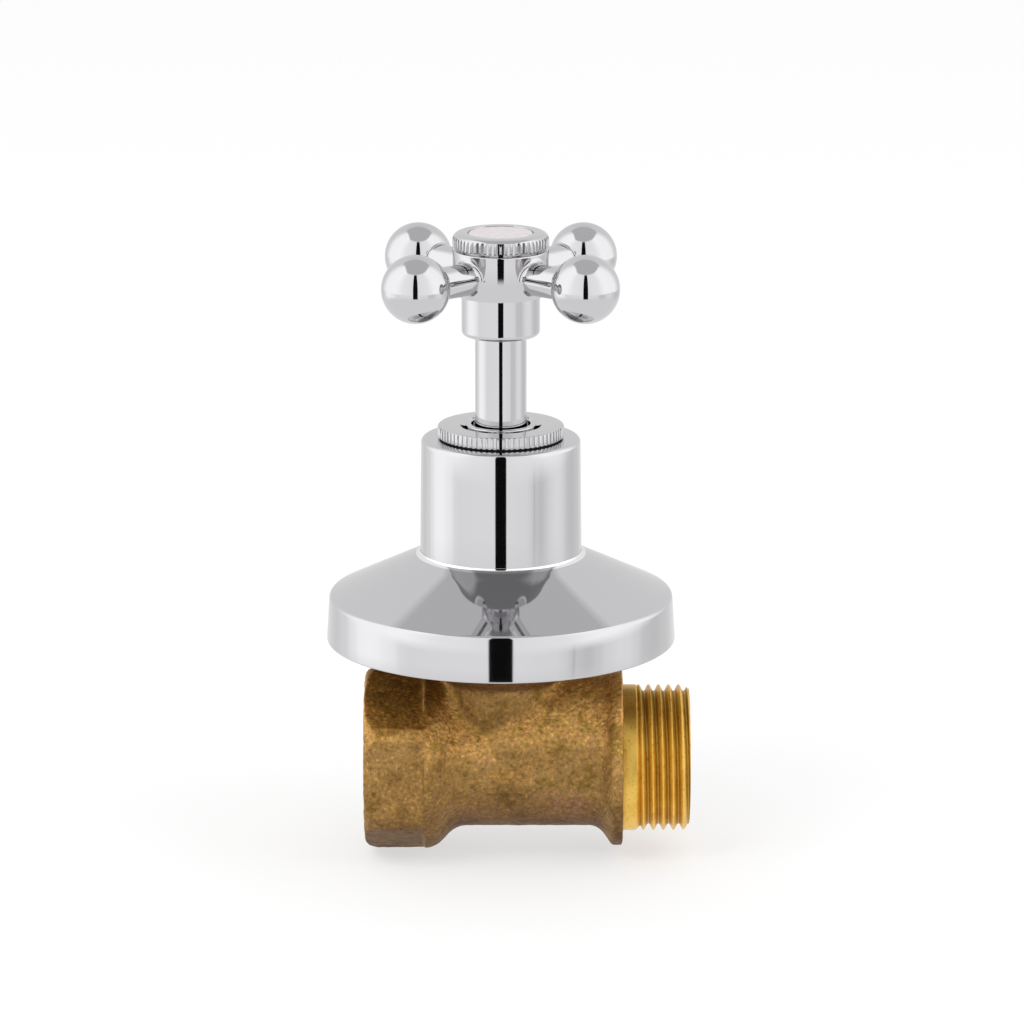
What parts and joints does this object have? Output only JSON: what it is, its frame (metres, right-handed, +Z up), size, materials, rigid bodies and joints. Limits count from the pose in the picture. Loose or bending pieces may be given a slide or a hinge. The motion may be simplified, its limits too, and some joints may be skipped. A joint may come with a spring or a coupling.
{
  "type": "shower stop valve",
  "caption": "Concealed shower stop valve: cast brass body with female inlet and male outlet, chrome bell flange, sleeve, knurled ring and cross handle.",
  "frame": {"origin": "centre of the inlet mouth, on the pipe axis", "axes": "+X along the pipe axis from the inlet to the outlet, +Z up the spindle to the handle, -Y to the viewer of the picture"},
  "size_m": [0.0655, 0.0628, 0.1141],
  "materials": {
    "cast_brass": "rough sand-cast, dull golden brown",
    "turned_brass": "machined",
    "chrome": "polished plating",
    "steel": "plated",
    "rubber": "matt",
    "fibre": "pressed fibre",
    "packing": "graphite packing",
    "index_plastic": "pale gloss"
  },
  "bodies": {
    "valve": {"valve_body": "cast_brass", "bonnet": "turned_brass", "bonnet_gasket": "fibre", "packing_washer": "turned_brass", "gland_packing": "packing", "gland_nut": "chrome", "wall_flange": "chrome", "sleeve": "chrome", "ring_washer": "rubber", "ring_nut": "chrome"},
    "jumper": {"jumper": "turned_brass", "jumper_washer": "rubber", "washer_nut": "turned_brass"},
    "handle": {"spindle": "chrome", "spindle_o_ring": "rubber", "handle_cross": "chrome", "handle_washer": "turned_brass", "handle_screw": "steel", "index_button": "chrome", "index_disc": "index_plastic"}
  },
  "joints": [
    {"name": "spindle_rise", "type": "slide", "parent": "valve", "child": "jumper", "axis": [0, 0, 1], "range_m": [0, 0.0045]},
    {"name": "handle_turn", "type": "hinge", "parent": "jumper", "child": "handle", "pos_m": [0.0249, 0, 0.0621], "axis": [0, 0, 1], "range_deg": [0, 1080]}
  ],
  "couplings": [
    {"joint": "handle_turn", "follows": "spindle_rise", "rad_per_m": 4188.8}
  ]
}
